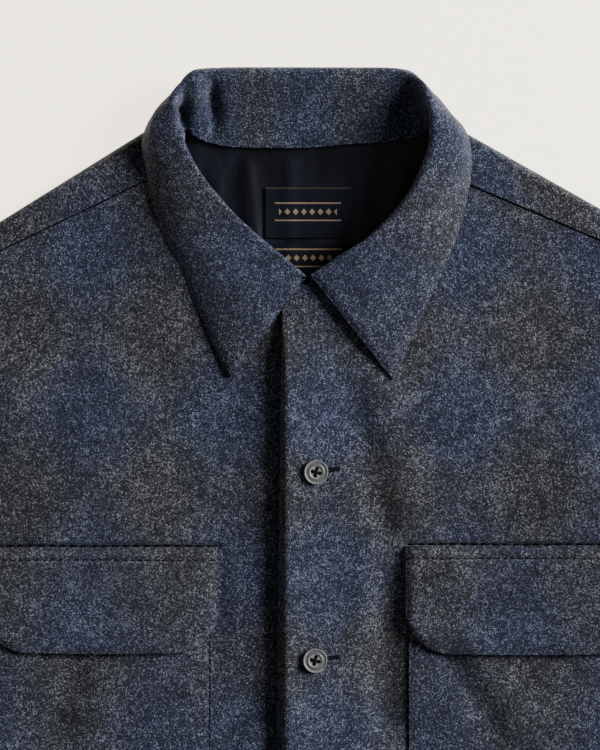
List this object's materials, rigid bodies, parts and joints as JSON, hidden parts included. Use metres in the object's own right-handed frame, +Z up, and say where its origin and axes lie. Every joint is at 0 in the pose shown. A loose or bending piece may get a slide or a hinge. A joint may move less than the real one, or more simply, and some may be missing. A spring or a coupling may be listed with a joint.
{
  "type": "wool button-up shirt",
  "caption": "Long-sleeved button-up shirt with a pointed collar, flapped chest pockets and buttoned cuffs, laid out flat on its back.",
  "frame": {"origin": "bottom centre of the box, on the surface that the shirt lies on", "axes": "+X across the shirt towards the wearer's left, +Y from the hem towards the collar, +Z up from the surface"},
  "size_m": [1.3668, 0.8056, 0.0461],
  "materials": {
    "wool": "napped wool, heathered navy and charcoal shadow check",
    "lining": "smooth navy-black satin",
    "label": "woven navy ribbon with plain dull gold lines",
    "button": "satin grey, four holes"
  },
  "bodies": {
    "root": {"back": "wool", "yoke": "wool", "yoke_lining": "lining", "neck_label_upper": "label", "neck_label_lower": "label", "front_right": "wool", "front_left": "wool", "pocket_right": "wool", "pocket_left": "wool", "flap_right": "wool", "flap_left": "wool", "sleeve_right": "wool", "sleeve_left": "wool", "cuff_right": "wool", "cuff_left": "wool", "collar": "wool", "button_1": "button", "button_2": "button", "button_3": "button", "button_4": "button", "button_5": "button", "cuff_button_left": "button", "cuff_button_right": "button"}
  },
  "joints": []
}
